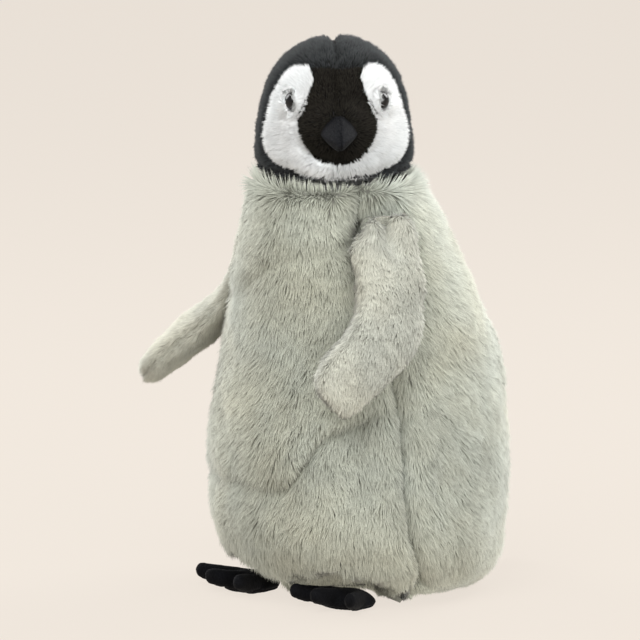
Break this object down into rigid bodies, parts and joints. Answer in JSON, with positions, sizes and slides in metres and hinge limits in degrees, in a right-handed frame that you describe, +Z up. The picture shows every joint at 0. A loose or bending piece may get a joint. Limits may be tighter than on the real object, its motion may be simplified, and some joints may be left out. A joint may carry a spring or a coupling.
{
  "type": "plush penguin",
  "caption": "Standing stuffed penguin chick with grey pile body, black and white head, bent flippers and toed feet; head, flippers, feet and tail move.",
  "frame": {"origin": "on the floor, at the middle of the flat base the toy stands on, on the body's left-right centre plane", "axes": "+Z up, the body faces -Y, the toy's own left side is +X"},
  "size_m": [0.2271, 0.2321, 0.3509],
  "materials": {
    "grey_plush": "deep pile plush, matte",
    "base_cloth": "short pile plush, matte",
    "flipper_plush": "short pile plush, matte",
    "black_plush": "black pile plush, matte",
    "mask_plush": "brownish black pile plush, matte",
    "white_plush": "white pile plush, matte",
    "beak_suede": "charcoal suede cloth",
    "foot_cloth": "black suede cloth",
    "eye_plastic": "polished",
    "joint_plastic": "moulded",
    "stuffing": "loose polyester fibre",
    "pellets": "beads",
    "bag_cloth": "thin woven cloth"
  },
  "bodies": {
    "body": {"front_panel": "grey_plush", "back_panel_left": "grey_plush", "back_panel_right": "grey_plush", "neck_cap": "grey_plush", "base_panel": "base_cloth", "base_board": "joint_plastic", "body_stuffing": "stuffing", "pellet_bag": "bag_cloth", "weight_pellets": "pellets", "neck_disc_lower": "joint_plastic", "neck_washer_lower": "joint_plastic"},
    "head": {"crown_left": "black_plush", "crown_right": "black_plush", "head_base": "black_plush", "cheek_left": "white_plush", "cheek_right": "white_plush", "face_mask_left": "mask_plush", "face_mask_right": "mask_plush", "beak_left": "beak_suede", "beak_right": "beak_suede", "beak_stuffing": "stuffing", "eye_left": "eye_plastic", "eye_right": "eye_plastic", "eye_washer_left": "joint_plastic", "eye_washer_right": "joint_plastic", "head_stuffing": "stuffing", "neck_disc_upper": "joint_plastic", "neck_washer_upper": "joint_plastic", "neck_pin": "joint_plastic", "neck_locknut": "joint_plastic"},
    "shoulder_left": {"wing_left_seam_plug": "grey_plush"},
    "shoulder_right": {"wing_right_seam_plug": "grey_plush"},
    "wing_left": {"wing_left_outer": "flipper_plush", "wing_left_inner": "flipper_plush", "wing_left_stuffing": "stuffing", "wing_left_seam_roll": "flipper_plush"},
    "wing_right": {"wing_right_outer": "flipper_plush", "wing_right_inner": "flipper_plush", "wing_right_stuffing": "stuffing", "wing_right_seam_roll": "flipper_plush"},
    "foot_left": {"foot_left_upper": "foot_cloth", "foot_left_sole": "foot_cloth", "foot_left_stuffing": "stuffing"},
    "foot_right": {"foot_right_upper": "foot_cloth", "foot_right_sole": "foot_cloth", "foot_right_stuffing": "stuffing"},
    "tail": {"tail_upper": "grey_plush", "tail_lower": "grey_plush", "tail_stuffing": "stuffing"}
  },
  "joints": [
    {"name": "head_turn", "type": "hinge", "parent": "body", "child": "head", "pos_m": [0, -0.0205, 0.269], "axis": [0, 0, 1], "range_deg": [-106, 14]},
    {"name": "wing_left_swing", "type": "hinge", "parent": "body", "child": "shoulder_left", "pos_m": [0.04927, -0.0393, 0.24159], "axis": [-0.8978, 0.4116, -0.1564], "range_deg": [-35, 35]},
    {"name": "wing_left_lift", "type": "hinge", "parent": "shoulder_left", "child": "wing_left", "pos_m": [0.04927, -0.0393, 0.24159], "axis": [-0.4167, -0.909, 0], "range_deg": [0, 60]},
    {"name": "wing_right_swing", "type": "hinge", "parent": "body", "child": "shoulder_right", "pos_m": [-0.04927, -0.0393, 0.24159], "axis": [-0.8978, -0.4116, 0.1564], "range_deg": [-35, 35]},
    {"name": "wing_right_lift", "type": "hinge", "parent": "shoulder_right", "child": "wing_right", "pos_m": [-0.04927, -0.0393, 0.24159], "axis": [-0.4167, 0.909, 0], "range_deg": [0, 35]},
    {"name": "foot_left_flex", "type": "hinge", "parent": "body", "child": "foot_left", "pos_m": [0.039, -0.033, 0.0025], "axis": [-1, 0, 0], "range_deg": [0, 5]},
    {"name": "foot_right_flex", "type": "hinge", "parent": "body", "child": "foot_right", "pos_m": [-0.039, -0.033, 0.0025], "axis": [-0.9563, 0.2924, 0], "range_deg": [0, 5]},
    {"name": "tail_flex", "type": "hinge", "parent": "body", "child": "tail", "pos_m": [0, 0.0975, 0.022], "axis": [1, 0, 0], "range_deg": [-12, 12]}
  ]
}
